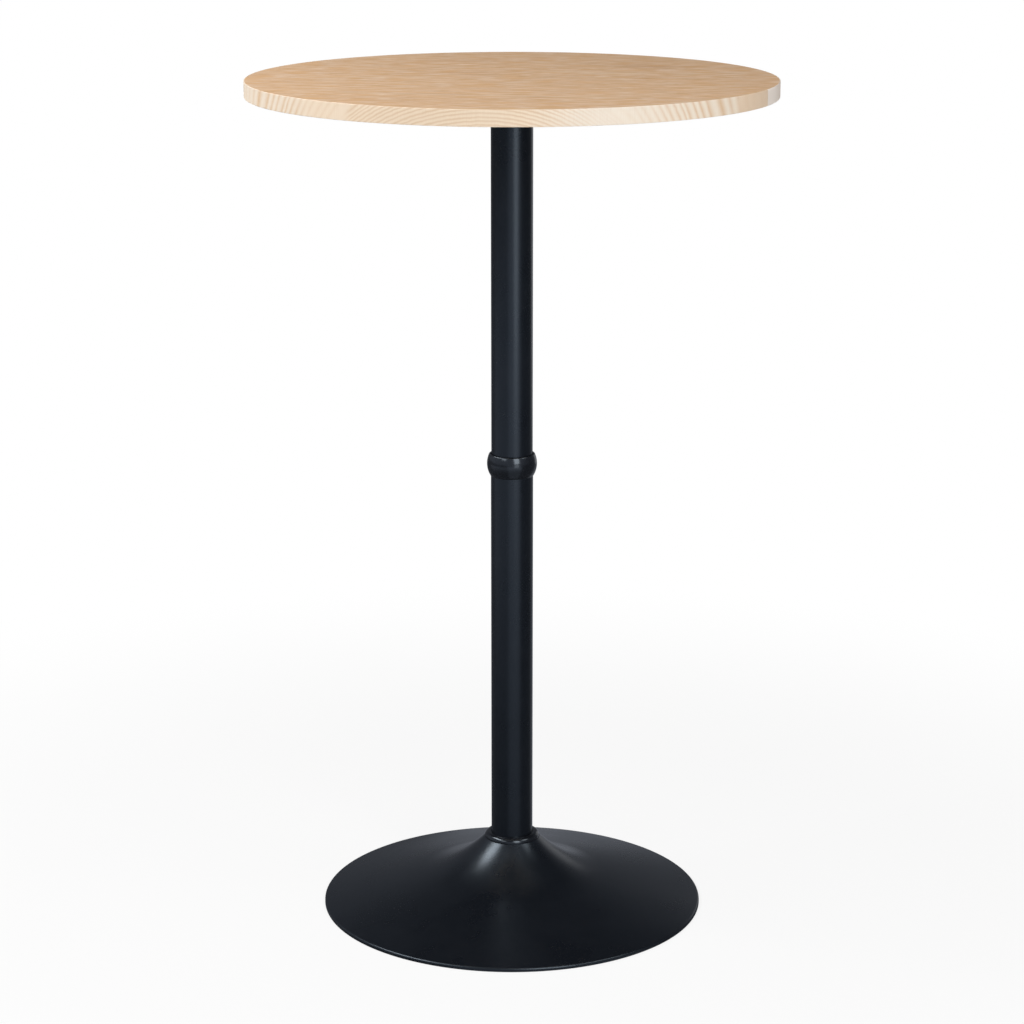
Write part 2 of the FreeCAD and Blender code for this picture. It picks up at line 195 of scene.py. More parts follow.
def enclosed_volume(points, faces):
    """The sum of the signed cones from the origin to the two triangles of each quad."""
    a, b, c, d = (points[faces[:, i]] for i in range(4))
    return np.einsum("ij,ij->", a, np.cross(b, c)) + np.einsum("ij,ij->", a, np.cross(c, d))


def piece(name, grids, wrap_rows=True, wrap_columns=True, uv=None):
    """One object from grids of points (row, column, xyz), each a closed surface with its faces turned outward.

    Rows or columns that shrink to one point are merged into a pole. Edges sharper than SHARP_ANGLE stay sharp.
    """
    points, faces, start = [], [], 0
    for grid in grids:
        flat = grid.reshape(-1, 3)
        quads = grid_faces(grid.shape, wrap_rows, wrap_columns)
        if enclosed_volume(flat, quads) < 0:
            quads = quads[:, ::-1]
        points.append(flat)
        faces.append(quads + start)
        start += len(flat)
    points, faces = np.concatenate(points), np.concatenate(faces)
    mesh = bpy.data.meshes.new(name)
    mesh.vertices.add(len(points))
    mesh.vertices.foreach_set("co", points.ravel())
    mesh.loops.add(faces.size)
    mesh.loops.foreach_set("vertex_index", faces.ravel())
    mesh.polygons.add(len(faces))
    mesh.polygons.foreach_set("loop_start", np.arange(0, faces.size, 4))
    if uv is not None:
        layer = mesh.uv_layers.new(name="along")
        layer.data.foreach_set("uv", uv.reshape(-1, 2)[faces.ravel()].ravel())
    mesh.update(calc_edges=True)
    work = bmesh.new()
    work.from_mesh(mesh)
    bmesh.ops.remove_doubles(work, verts=work.verts, dist=1e-7)
    work.to_mesh(mesh)
    work.free()
    mesh.shade_smooth()
    mesh.set_sharp_from_angle(angle=SHARP_ANGLE)
    obj = bpy.data.objects.new(name, mesh)
    bpy.context.scene.collection.objects.link(obj)
    return obj


def place(obj, node, slot, material):
    """The piece takes the node's place, rides on the table and gets its finish."""
    obj.data.materials.append(material)
    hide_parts(node)
    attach(obj, "root")
    return obj


# Outlines, as arrays of (radius, height)

def arc(centre, radius, first, last):
    """Points of a circle between two angles, evenly spaced, at most ARC_STEP apart."""
    count = max(2, math.ceil(abs(last - first) / ARC_STEP)) + 1
    angle = np.linspace(first, last, count)
    return np.stack([centre[0] + radius * np.cos(angle), centre[1] + radius * np.sin(angle)], -1)


def unit(vector):
    return vector / np.hypot(*vector)


def outline(*corners):
    """A closed outline from (radius, height, rounding) corners.

    The rounding of a corner is a circle whose centre lies on the corner's bisector, rounding / sin(half the
    corner's angle) away. It leaves each side rounding / tan(half the angle) from the corner. One more point beside
    each rounding keeps the shading of the flats flat.
    """
    points = [np.array(corner[:2], float) for corner in corners]
    parts = []
    for i, (point, corner) in enumerate(zip(points, corners)):
        before, after = points[i - 1] - point, points[(i + 1) % len(points)] - point
        room = min(SUPPORT, np.hypot(*before) / 4, np.hypot(*after) / 4)
        before, after = unit(before), unit(after)
        half = math.acos(np.clip(before @ after, -1, 1)) / 2
        rounding = corner[2]
        if rounding == 0:
            parts.append(point[None])
            continue
        cut = rounding / math.tan(half)
        centre = point + unit(before + after) * rounding / math.sin(half)
        first, last = point + before * cut - centre, point + after * cut - centre
        start, end = math.atan2(first[1], first[0]), math.atan2(last[1], last[0])
        turn = (end - start + math.pi) % (2 * math.pi) - math.pi
        parts.append((point + before * (cut + room))[None])
        parts.append(arc(centre, rounding, start, start + turn))
        parts.append((point + after * (cut + room))[None])
    return np.concatenate(parts)


def turn_angles(turns):
    return np.arange(turns) * 2 * math.pi / turns


def swung(radius, height, angle):
    """Points about Z: at the angle a, (radius, height) is (radius cos a, radius sin a, height)."""
    return np.stack(np.broadcast_arrays(radius * np.cos(angle), radius * np.sin(angle), height), -1)


def around(profile, turns):
    """The profile's (radius, height) points, one column for each turn of it about Z."""
    return swung(profile[:, :1], profile[:, 1:], turn_angles(turns))


def bolt_rows(rows, angle):
    """A grid from rows of (radius, height), where either may change with the angle."""
    return np.stack([swung(radius, height + 0 * angle, angle) for radius, height in rows])


def turned(name, profile, turns):
    """One piece from a closed profile turned about Z."""
    return piece(name, [around(profile, turns)])


def moved(grid, x=0.0, y=0.0, z=0.0):
    return grid + np.array([x, y, z])


def bolt_places():
    """Where the plate bolts stand: evenly round the axis, the first midway between +X and +Y."""
    angle = (np.arange(PLATE_BOLT_COUNT) + 0.5) * 2 * math.pi / PLATE_BOLT_COUNT
    return zip(PLATE_BOLT_CIRCLE_RADIUS * np.cos(angle), PLATE_BOLT_CIRCLE_RADIUS * np.sin(angle))


# Node trees

class Tree:
    """Writes a node tree. Each call adds nodes and gives back the last one's output socket."""

    def __init__(self, tree):
        self.tree = tree

    def node(self, kind, inputs=(), output=0, **settings):
        node = self.tree.nodes.new("ShaderNode" + kind)
        for key, value in settings.items():
            setattr(node, key, value)
        for key, value in dict(inputs).items():
            if isinstance(value, bpy.types.NodeSocket):
                self.tree.links.new(value, node.inputs[key])
            else:
                node.inputs[key].default_value = value
        return node.outputs[output]

    def math(self, operation, *values):
        return self.node("Math", enumerate(values), operation=operation)

    def plus(self, first, second):
        return self.math("ADD", first, second)

    def times(self, first, second):
        return self.math("MULTIPLY", first, second)

    def over(self, first, second):
        return self.math("DIVIDE", first, second)

    def most(self, first, second):
        return self.math("MAXIMUM", first, second)

    def swing(self, noise, span):
        """A noise about one half, moved to lie about zero and scaled to the span."""
        return self.times(self.math("SUBTRACT", noise, 0.5), span)

    def crests(self, value, power):
        """None at whole numbers and one midway between them, drawn to a crest by the power."""
        return self.math("POWER", self.times(self.math("PINGPONG", value, 0.5), 2.0), power)

    def spread(self, value, low, high, to_low=0.0, to_high=1.0, smooth=False):
        """The value's range stretched onto another range, and held at its ends."""
        kind = "SMOOTHSTEP" if smooth else "LINEAR"
        return self.node("MapRange", {0: value, 1: low, 2: high, 3: to_low, 4: to_high}, interpolation_type=kind)

    def length(self, vector):
        return self.node("VectorMath", {0: vector}, "Value", operation="LENGTH")

    def blend(self, share, first, second):
        return self.node("Mix", {0: share, 6: first, 7: second}, 2, data_type="RGBA")

    def laid(self, tone, colour, mask, share):
        """The colour laid on the tone where the mask is one, at a share of its strength."""
        return self.blend(self.times(mask, share), tone, colour)

    def mapped(self, vector, scale=(1, 1, 1), turn=(0, 0, 0), shift=(0, 0, 0)):
        return self.node("Mapping", {"Vector": vector, "Scale": scale, "Rotation": turn, "Location": shift})

    def noise(self, vector, scale=1.0, detail=2.0, roughness=0.5):
        return self.node("TexNoise", {"Vector": vector, "Scale": scale, "Detail": detail, "Roughness": roughness})

    def cells(self, vector, scale=1.0, output="Distance", feature="F1"):
        return self.node("TexVoronoi", {"Vector": vector, "Scale": scale}, output, feature=feature)

    def split(self, vector):
        node = self.node("SeparateXYZ", {0: vector}).node
        return node.outputs[0], node.outputs[1], node.outputs[2]

    def join(self, x, y, z=0.0):
        return self.node("CombineXYZ", {0: x, 1: y, 2: z})

    def curve(self, value, *points):
        """The value passed through a curve of (from 0 to 1, from 0 to 1) points, straight between them."""
        output = self.node("FloatCurve", {"Value": value})
        line = output.node.mapping.curves[0]
        line.points[0].location, line.points[1].location = points[0], points[-1]
        for point in points[1:-1]:
            line.points.new(*point)
        for point in line.points:
            point.handle_type = "VECTOR"
        output.node.mapping.update()
        return output

    def group(self, group, vector, **sizes):
        """A node of the group. It gives back the outputs by name."""
        return self.node("Group", {"Vector": vector, **sizes}, node_tree=group).node.outputs

    def place_coordinates(self):
        return self.node("TexCoord", output="Object")


def effect(name, fill, outputs, **sizes):
    """A node group with a vector and the sizes as inputs, and the named outputs. fill gives {output: socket}."""
    group = bpy.data.node_groups.new(name, "ShaderNodeTree")
    group.interface.new_socket("Vector", in_out="INPUT", socket_type="NodeSocketVector")
    for key, size in sizes.items():
        group.interface.new_socket(key, in_out="INPUT", socket_type="NodeSocketFloat").default_value = size
    for key in outputs:
        group.interface.new_socket(key, in_out="OUTPUT", socket_type="NodeSocketFloat")
    tree = Tree(group)
    entry, end = group.nodes.new("NodeGroupInput"), group.nodes.new("NodeGroupOutput")
    for key, socket in fill(tree, entry.outputs).items():
        group.links.new(socket, end.inputs[key])
    return group


def finish(name, fill, **constants):
    """A material. fill(tree) gives the sockets that vary over the surface; the rest is set on the shader."""
    material = bpy.data.materials.new(name)
    material.use_nodes = True
    shader = material.node_tree.nodes["Principled BSDF"]
    for key, value in constants.items():
        shader.inputs[key.replace("_", " ")].default_value = value
    tree = Tree(material.node_tree)
    for key, socket in fill(tree).items():
        material.node_tree.links.new(socket, shader.inputs[key])
    return material


def surface(tree, tone, rough, height, depth, **more):
    """The sockets of a finish, with the height as a bump of the depth in metres."""
    relief = tree.node("Bump", {"Height": height, "Distance": depth, "Strength": 1.0})
    return {"Base Color": tone, "Roughness": rough, "Normal": relief, **more}


# Effects that several finishes share

def fill_fibres(tree, inputs):
    """Noise drawn out along X into fibres, and short dark pores where fine drawn-out cells are close to centre."""
    broad_scale, cell_scale, patch_scale = (0.5, 0.18, 0.18), (2.4, 0.8, 0.8), (0.3, 0.12, 0.12)
    x, y, z = tree.split(inputs["Vector"])
    drawn = tree.join(tree.over(x, inputs["Length"]), tree.over(y, inputs["Width"]), tree.over(z, inputs["Width"]))
    broad = tree.noise(tree.mapped(drawn, broad_scale), detail=3.0, roughness=0.55)
    fine = tree.noise(drawn, detail=4.0, roughness=0.62)
    pores = tree.spread(tree.cells(tree.mapped(drawn, cell_scale)), 0.10, 0.24, 1.0, 0.0)
    patches = tree.spread(tree.noise(tree.mapped(drawn, patch_scale)), 0.42, 0.62)
    return {"Broad": broad, "Fine": fine, "Pores": tree.times(pores, patches)}


def fill_orange_peel(tree, inputs):
    """The low bumps of a flowed coat, as two sizes of noise, and a slow drift of its gloss."""
    coarse_share, finer, slower = 0.75, 3.1, 0.03
    vector = inputs["Vector"]
    per_metre = tree.over(1.0, inputs["Size"])
    coarse = tree.noise(vector, per_metre, 1.0)
    fine = tree.noise(vector, tree.times(per_metre, finer))
    height = tree.plus(tree.times(coarse, coarse_share), tree.times(fine, 1 - coarse_share))
    return {"Height": height, "Drift": tree.noise(vector, tree.times(per_metre, slower), 3.0, 0.6)}


def fill_speckle(tree, inputs):
    """Sparse dust: small round specks, denser where a broad noise is high."""
    slower = 0.06
    vector = inputs["Vector"]
    per_metre = tree.over(1.0, inputs["Size"])
    specks = tree.spread(tree.cells(vector, per_metre), 0.05, 0.16, 1.0, 0.0)
    dense = tree.spread(tree.noise(vector, tree.times(per_metre, slower), 3.0, 0.6), 0.5, 0.75)
    return {"Mask": tree.times(specks, dense)}


def fill_scuffs(tree, inputs):
    """Fine hairline scratches: noise drawn out in two crossing directions, kept where it peaks."""
    per_metre, turns = (60.0, 2600.0, 2600.0), (0.5, 2.2)
    lines = []
    for turn in turns:
        drawn = tree.mapped(inputs["Vector"], per_metre, (0.0, 0.0, turn))
        lines.append(tree.spread(tree.noise(drawn, detail=1.0, roughness=0.4), 0.66, 0.74))
    return {"Mask": tree.most(*lines)}


FIBRES = effect("wood fibres", fill_fibres, ("Broad", "Fine", "Pores"), Length=0.06, Width=0.0012)
ORANGE_PEEL = effect("orange peel", fill_orange_peel, ("Height", "Drift"), Size=0.0014)
SPECKLE = effect("dust specks", fill_speckle, ("Mask",), Size=0.004)
SCUFFS = effect("hairline scuffs", fill_scuffs, ("Mask",))


# Finishes. Their colours are (red, green, blue, 1), and mapped scales are waves per metre along X, Y and Z.

# Figure marks on the face, as (x, y, half length, half width, turn)
FIGURE_TURN = -0.14
CREAM_MARKS = ((-0.020, -0.172, 0.225, 0.0050, FIGURE_TURN), (0.075, 0.068, 0.040, 0.0060, 0.0),
               (0.120, 0.050, 0.045, 0.0060, 0.0), (-0.150, 0.012, 0.090, 0.0030, 0.0),
               (0.200, 0.048, 0.030, 0.0050, 0.0))
BROWN_MARKS = ((-0.085, -0.160, 0.065, 0.0040, FIGURE_TURN), (0.030, -0.186, 0.022, 0.0040, 0.0),
               (0.155, -0.196, 0.020, 0.0040, 0.0), (-0.050, 0.066, 0.045, 0.0050, 0.0),
               (-0.035, 0.038, 0.032, 0.0045, 0.0), (0.050, 0.020, 0.018, 0.0040, 0.0),
               (0.170, 0.002, 0.052, 0.0045, 0.0), (-0.058, 0.185, 0.050, 0.0090, 0.0),
               (0.155, 0.125, 0.045, 0.0260, 0.0))


def marks(tree, where, places):
    """One inside the ellipses of the places, fading to none from half of their size to a little beyond it."""
    mask = 0.0
    for x, y, half_length, half_width, turn in places:
        inputs = {"Vector": where, "Location": (x, y, TABLE_HEIGHT), "Rotation": (0.0, 0.0, turn),
                  "Scale": (half_length, half_width, 1.0)}
        away = tree.length(tree.node("Mapping", inputs, vector_type="TEXTURE"))
        mask = tree.most(mask, tree.spread(away, 0.5, 1.3, 1.0, 0.0))
    return mask


def fill_wood_face(tree):
    """Tan veneer with its grain along X.

    Two noises drawn out along X give short streaks from brown to grey-pink and patches of warmer brown. Under them
    lie the tongues of a plain-sawn board, as contour lines of a broader noise. On them lie fibres, pores, and a few
    cream and brown marks at places of their own.
    """
    brown, grey_pink, warm_brown = (0.585, 0.365, 0.195, 1), (0.79, 0.61, 0.465, 1), (0.67, 0.395, 0.18, 1)
    late_wood, pore_brown = (0.49, 0.30, 0.165, 1), (0.33, 0.19, 0.10, 1)
    mark_cream, mark_brown = (0.76, 0.62, 0.47, 1), (0.44, 0.235, 0.105, 1)
    grain_sway, tongues, fibre_length, fibre_width = 0.03, 17.0, 0.080, 0.0036
    where = tree.place_coordinates()
    sway = tree.noise(tree.mapped(where, (3.0, 5.0, 1.0)))
    x, y, z = tree.split(where)
    bent = tree.join(x, tree.plus(y, tree.swing(sway, grain_sway)), z)
    hills = tree.noise(tree.mapped(bent, (1.5, 9.0, 1.0), shift=(3.1, 0.7, 0.0)), detail=1.5, roughness=0.45)
    rings = tree.crests(tree.times(hills, tongues), 1.6)
    fibres = tree.group(FIBRES, bent, Length=fibre_length, Width=fibre_width)
    streaks = tree.noise(tree.mapped(bent, (34.0, 180.0, 1.0), shift=(7.3, 1.9, 0.0)), detail=3.0, roughness=0.6)
    tan = tree.blend(tree.spread(streaks, 0.38, 0.62), brown, grey_pink)
    warm = tree.noise(tree.mapped(bent, (24.0, 150.0, 1.0), shift=(1.4, 8.2, 0.0)), detail=3.0, roughness=0.6)
    tan = tree.blend(tree.spread(warm, 0.45, 0.60, 0.0, 0.75), tan, warm_brown)
    tan = tree.laid(tan, late_wood, rings, 0.14)
    uneven = tree.spread(fibres["Broad"], 0.38, 0.58, 0.25, 1.0)
    tan = tree.laid(tan, mark_cream, tree.times(marks(tree, bent, CREAM_MARKS), uneven), 0.5)
    tan = tree.laid(tan, mark_brown, tree.times(marks(tree, bent, BROWN_MARKS), uneven), 0.45)
    tan = tree.blend(tree.spread(fibres["Fine"], 0.40, 0.70, 0.0, 0.45), tan, late_wood)
    tan = tree.laid(tan, pore_brown, fibres["Pores"], 0.45)
    depth = tree.plus(tree.times(fibres["Fine"], 0.5), tree.times(fibres["Pores"], -0.8))
    rough = tree.spread(fibres["Fine"], 0.2, 0.8, 0.52, 0.66)
    return surface(tree, tan, rough, depth, 0.00003)


# The rings on the edge band. Places are metres of the way round from the pith, negative to its right. A ring's
# number is a curve of its radius in metres; strengths and shares are curves of the place.
PITH_PLACE = 0.380
PITH_SPAN = 0.471
NEAR_PITH_DEPTH = 0.191
FAR_PITH_DEPTH = 0.121
FAR_FROM = 0.152
FAR_FULL = 0.164
NEAR_SIDE_STRETCH = 1.08
FAR_SIDE_STRETCH = 0.94
RING_REACH = 0.6
RING_COUNT = 50.0
PEACH_FROM = -0.300
PEACH_FULL = -0.315
GREY_FROM = 1.72
GREY_FULL = 1.86
NEAR_RING_NUMBERS = ((0.0, 0.0), (0.180, 0.31), (0.200, 5.19), (0.2255, 11.5), (0.2471, 17.5), (0.6, 50.0))
FAR_RING_NUMBERS = ((0.0, 0.0), (0.206, 0.0), (0.2685, 7.5), (0.2745, 8.5), (0.3042, 11.5), (0.327, 12.5),
                    (0.356, 14.5), (0.392, 16.5), (0.6, 27.0))
RING_STRENGTHS = ((-0.471, 0.1), (-0.330, 0.12), (-0.298, 0.5), (-0.285, 1.0), (-0.230, 0.95), (-0.181, 0.4),
                  (-0.150, 0.12), (-0.118, 0.12), (-0.080, 0.6), (-0.060, 0.9), (0.0, 0.7), (0.060, 0.85),
                  (0.150, 0.85), (0.165, 0.25), (0.215, 0.3), (0.235, 0.8), (0.320, 1.0), (0.345, 0.3),
                  (0.471, 0.15))
PALE_SHARES = ((-0.471, 0.4), (-0.330, 0.0), (-0.292, 0.9), (-0.094, 1.0), (-0.038, 0.15), (0.060, 0.0),
               (0.207, 0.1), (0.245, 0.7), (0.358, 0.7), (0.471, 0.4))


def ring_lines(tree, side, rise, waver, numbers):
    """One on the dark lines of rings about a pith, none between them. The numbers are (radius, ring's number)."""
    radius = tree.math("SQRT", tree.plus(tree.times(side, side), tree.times(rise, rise)))
    radius = tree.plus(radius, waver)
    shares = [(distance / RING_REACH, number / RING_COUNT) for distance, number in numbers]
    number = tree.times(tree.curve(tree.over(radius, RING_REACH), *shares), RING_COUNT)
    drift = tree.noise(tree.join(number, 0.0), 0.7, 1.0)
    return tree.crests(tree.plus(number, tree.swing(drift, 0.6)), 1.8)


def fill_wood_edge(tree):
    """End-grain growth rings round the edge.

    The piece's map gives the distance round from the seam and the height. The rings are circles about a pith that
    lies far below the band, and less far below it for the rings away from the pith. How strong the rings are, and
    how pale the wood between them is, are curves of the distance round from the pith.
    """
    tan, cream, peach, ring_brown = ((0.84, 0.69, 0.53, 1), (0.82, 0.73, 0.62, 1), (0.76, 0.595, 0.44, 1),
                                     (0.66, 0.445, 0.26, 1))
    fibre_brown, pore_brown, grey = (0.64, 0.46, 0.31, 1), (0.55, 0.36, 0.22, 1), (0.88, 0.81, 0.75, 1)
    side_sway, ring_waver, fibre_length, fibre_width = 0.006, 0.0018, 0.03, 0.0009
    u, v, _ = tree.split(tree.node("UVMap", uv_map="along"))
    flat = tree.join(u, v)
    round_from = tree.math("WRAP", tree.math("SUBTRACT", u, PITH_PLACE), PITH_SPAN, -PITH_SPAN)
    side = tree.plus(round_from, tree.swing(tree.noise(flat, 9.0, 1.0), side_sway))
    near = tree.times(tree.math("MINIMUM", side, 0.0), NEAR_SIDE_STRETCH)
    side = tree.plus(near, tree.times(tree.most(side, 0.0), FAR_SIDE_STRETCH))
    waver = tree.swing(tree.noise(flat, 120.0), ring_waver)
    near_lines = ring_lines(tree, side, tree.plus(v, NEAR_PITH_DEPTH), waver, NEAR_RING_NUMBERS)
    far_lines = ring_lines(tree, side, tree.plus(v, FAR_PITH_DEPTH), waver, FAR_RING_NUMBERS)
    away = tree.spread(tree.math("ABSOLUTE", round_from), FAR_FROM, FAR_FULL)
    line = tree.plus(tree.times(far_lines, away), tree.times(near_lines, tree.math("SUBTRACT", 1.0, away)))
    place_share = tree.spread(round_from, -PITH_SPAN, PITH_SPAN)
    strengths, pales = ([((distance + PITH_SPAN) / PITH_SPAN / 2, share) for distance, share in table]
                        for table in (RING_STRENGTHS, PALE_SHARES))
    uneven = tree.spread(tree.noise(tree.mapped(flat, (30.0, 90.0, 1.0)), detail=3.0), 0.3, 0.7, 0.7, 1.0)
    strong_line = tree.times(line, tree.times(tree.curve(place_share, *strengths), uneven))
    tone = tree.blend(tree.curve(place_share, *pales), tan, cream)
    tone = tree.blend(tree.spread(round_from, PEACH_FROM, PEACH_FULL), tone, peach)
    tone = tree.blend(strong_line, tone, ring_brown)
    upright = tree.group(FIBRES, tree.join(v, u), Length=fibre_length, Width=fibre_width)
    tone = tree.blend(tree.spread(upright["Fine"], 0.4, 0.75, 0.0, 0.22), tone, fibre_brown)
    tone = tree.laid(tone, pore_brown, upright["Pores"], 0.18)
    tone = tree.laid(tone, grey, tree.spread(u, GREY_FROM, GREY_FULL), 0.8)
    rough = tree.spread(upright["Fine"], 0.2, 0.8, 0.50, 0.60)
    return surface(tree, tone, rough, strong_line, -0.00002)


def fill_backing(tree):
    """Plain balancing veneer under the board: pale, straight-grained, a little blotchy."""
    tan, pale_tan, fibre_brown, pore_brown = ((0.60, 0.46, 0.32, 1), (0.70, 0.56, 0.41, 1), (0.50, 0.36, 0.235, 1),
                                              (0.36, 0.24, 0.15, 1))
    fibres = tree.group(FIBRES, tree.place_coordinates(), Length=0.11, Width=0.0022)
    tone = tree.blend(tree.spread(fibres["Broad"], 0.3, 0.7), tan, pale_tan)
    tone = tree.blend(tree.spread(fibres["Fine"], 0.4, 0.75, 0.0, 0.4), tone, fibre_brown)
    tone = tree.laid(tone, pore_brown, fibres["Pores"], 0.5)
    rough = tree.spread(fibres["Fine"], 0.2, 0.8, 0.62, 0.78)
    return surface(tree, tone, rough, fibres["Fine"], 0.00004)


def fill_board(tree):
    """Pressed chips: flat cells in several browns, with dark gaps between them."""
    dark_chip, pale_chip, gap_brown = (0.42, 0.29, 0.17, 1), (0.66, 0.50, 0.33, 1), (0.20, 0.12, 0.07, 1)
    chips_per_metre, flatness = 230.0, 2.4
    flat = tree.mapped(tree.place_coordinates(), (1.0, 1.0, flatness))
    shade = tree.split(tree.cells(flat, chips_per_metre, "Color"))[0]
    edge = tree.cells(flat, chips_per_metre, feature="DISTANCE_TO_EDGE")
    gaps = tree.spread(edge, 0.0, 0.08, 1.0, 0.0)
    tone = tree.laid(tree.blend(shade, dark_chip, pale_chip), gap_brown, gaps, 0.6)
    rough = tree.spread(shade, 0.0, 1.0, 0.8, 0.95)
    return surface(tree, tone, rough, gaps, -0.0002)


def fill_powder_coat(tree):
    """Satin black coat with orange peel, a slow drift of gloss and very little dust."""
    black, blue_black, dust_grey = (0.0042, 0.0054, 0.0080, 1), (0.0056, 0.0070, 0.0100, 1), (0.25, 0.24, 0.22, 1)
    where = tree.place_coordinates()
    peel = tree.group(ORANGE_PEEL, where, Size=0.0016)
    tone = tree.blend(tree.spread(peel["Drift"], 0.35, 0.65), black, blue_black)
    tone = tree.laid(tone, dust_grey, tree.group(SPECKLE, where, Size=0.006)["Mask"], 0.05)
    rough = tree.spread(peel["Drift"], 0.3, 0.7, 0.265, 0.295)
    return surface(tree, tone, rough, peel["Height"], 0.000012)


def fill_moulding(tree):
    """Glossy black moulded plastic with the faintest waviness and hairline scuffs."""
    black, blue_black = (0.0060, 0.0068, 0.0090, 1), (0.0078, 0.0088, 0.0112, 1)
    where = tree.place_coordinates()
    peel = tree.group(ORANGE_PEEL, where, Size=0.005)
    scuffs = tree.group(SCUFFS, where)["Mask"]
    tone = tree.blend(tree.spread(peel["Drift"], 0.3, 0.7), black, blue_black)
    rough = tree.plus(tree.spread(peel["Drift"], 0.3, 0.7, 0.17, 0.20), tree.times(scuffs, 0.06))
    return surface(tree, tone, rough, peel["Height"], 0.00001)


def fill_zinc(tree):
    """Bright zinc plate with a faint yellow and blue drift, spangle and hairline scuffs."""
    blue_zinc, yellow_zinc, scuff_grey = (0.56, 0.58, 0.62, 1), (0.66, 0.65, 0.60, 1), (0.80, 0.80, 0.80, 1)
    where = tree.place_coordinates()
    scuffs = tree.group(SCUFFS, where)["Mask"]
    tone = tree.blend(tree.spread(tree.noise(where, 140.0, 3.0, 0.6), 0.35, 0.65), blue_zinc, yellow_zinc)
    tone = tree.laid(tone, scuff_grey, scuffs, 0.3)
    rough = tree.spread(tree.noise(where, 420.0), 0.3, 0.7, 0.26, 0.40)
    return surface(tree, tone, rough, scuffs, -0.00001)


def fill_raw_steel(tree):
    """Hot-rolled plate: blue-grey mill scale, rust in blooms, and scuffs from handling."""
    dark_scale, pale_scale, rust, scuff_grey = ((0.075, 0.080, 0.090, 1), (0.15, 0.15, 0.155, 1),
                                                (0.19, 0.085, 0.038, 1), (0.42, 0.42, 0.42, 1))
    where = tree.place_coordinates()
    scale = tree.noise(where, 60.0, 4.0, 0.65)
    bloom = tree.spread(tree.noise(where, 26.0, 5.0, 0.7), 0.56, 0.68)
    tone = tree.blend(tree.spread(scale, 0.35, 0.65), dark_scale, pale_scale)
    tone = tree.laid(tone, rust, bloom, 0.75)
    tone = tree.laid(tone, scuff_grey, tree.group(SCUFFS, where)["Mask"], 0.35)
    rough = tree.plus(tree.spread(scale, 0.3, 0.7, 0.42, 0.56), tree.times(bloom, 0.3))
    metal = tree.math("SUBTRACT", 0.9, tree.times(bloom, 0.8))
    return surface(tree, tone, rough, scale, 0.00008, Metallic=metal)


def fill_foot_rubber(tree):
    """Matt dark grey rubber with a fine grain and dust on it."""
    black, grey_black, dust_grey = (0.020, 0.020, 0.021, 1), (0.034, 0.034, 0.035, 1), (0.30, 0.28, 0.25, 1)
    where = tree.place_coordinates()
    grain = tree.noise(where, 1500.0, 3.0, 0.6)
    tone = tree.blend(tree.spread(grain, 0.3, 0.7), black, grey_black)
    tone = tree.laid(tone, dust_grey, tree.group(SPECKLE, where, Size=0.003)["Mask"], 0.3)
    rough = tree.spread(grain, 0.3, 0.7, 0.7, 0.85)
    return surface(tree, tone, rough, grain, 0.00003)


WOOD_FACE = finish("wood face", fill_wood_face, Specular_IOR_Level=0.25)
WOOD_EDGE = finish("wood edge", fill_wood_edge, Specular_IOR_Level=0.35)
BACKING = finish("backing veneer", fill_backing, Specular_IOR_Level=0.25)
BOARD = finish("chip board", fill_board, Specular_IOR_Level=0.2)
POWDER_COAT = finish("black powder coat", fill_powder_coat, Specular_IOR_Level=0.5,
                     Specular_Tint=(0.74, 0.87, 1.0, 1.0))
MOULDING = finish("gloss black moulding", fill_moulding, Specular_IOR_Level=0.5,
                  Specular_Tint=(0.78, 0.89, 1.0, 1.0))
ZINC = finish("zinc plate", fill_zinc, Metallic=1.0)
RAW_STEEL = finish("mill scale", fill_raw_steel)
FOOT_RUBBER = finish("foot rubber", fill_foot_rubber, Specular_IOR_Level=0.3)


# Tabletop

def face_veneer():
    """A flat disc whose arris is just broken."""
    profile = outline((0, FACE_FOOT, 0), (FACE_RADIUS, FACE_FOOT, 0), (FACE_RADIUS, TABLE_HEIGHT, FACE_ARRIS),
                      (0, TABLE_HEIGHT, 0))
    return turned("face_veneer", profile, LARGE_TURNS)


def edge_band():
    """The band's section carried round from one side of the seam to the other.

    At the share t of the way round, the section turns to the angle of the seam plus half its gap plus t of the rest
    of the turn. The map holds the distance round and the distance along the section's outer side.
    """
    inner = FACE_RADIUS + SLIP_FIT
    section = outline((inner, TOP_UNDERSIDE, 0), (TOP_RADIUS, TOP_UNDERSIDE, EDGE_EASING),
                      (TOP_RADIUS, TABLE_HEIGHT, EDGE_EASING), (inner, TABLE_HEIGHT, 0))
    centre = section.mean(0)
    section = np.stack([centre + 0 * section, section])
    half_gap = SEAM_GAP / 2 / TOP_RADIUS
    share = np.linspace(0, 1, LARGE_TURNS * 2)
    share = np.concatenate([share[:1], share, share[-1:]])
    angle = SEAM_ANGLE - math.pi / 2 - half_gap - share * 2 * (math.pi - half_gap)
    shrink = np.ones(len(share), int)
    shrink[[0, -1]] = 0
    radius, height = section[shrink, :, 0], section[shrink, :, 1]
    grid = np.stack([radius * np.cos(angle)[:, None], radius * np.sin(angle)[:, None], height], -1)
    along = np.broadcast_to((share * 2 * math.pi * TOP_RADIUS)[:, None], radius.shape)
    uv = np.stack([along, height - TOP_UNDERSIDE + TOP_RADIUS - radius], -1)
    return piece("edge_band_veneer", [grid], wrap_rows=False, uv=uv)


# Mounting plate and its fasteners

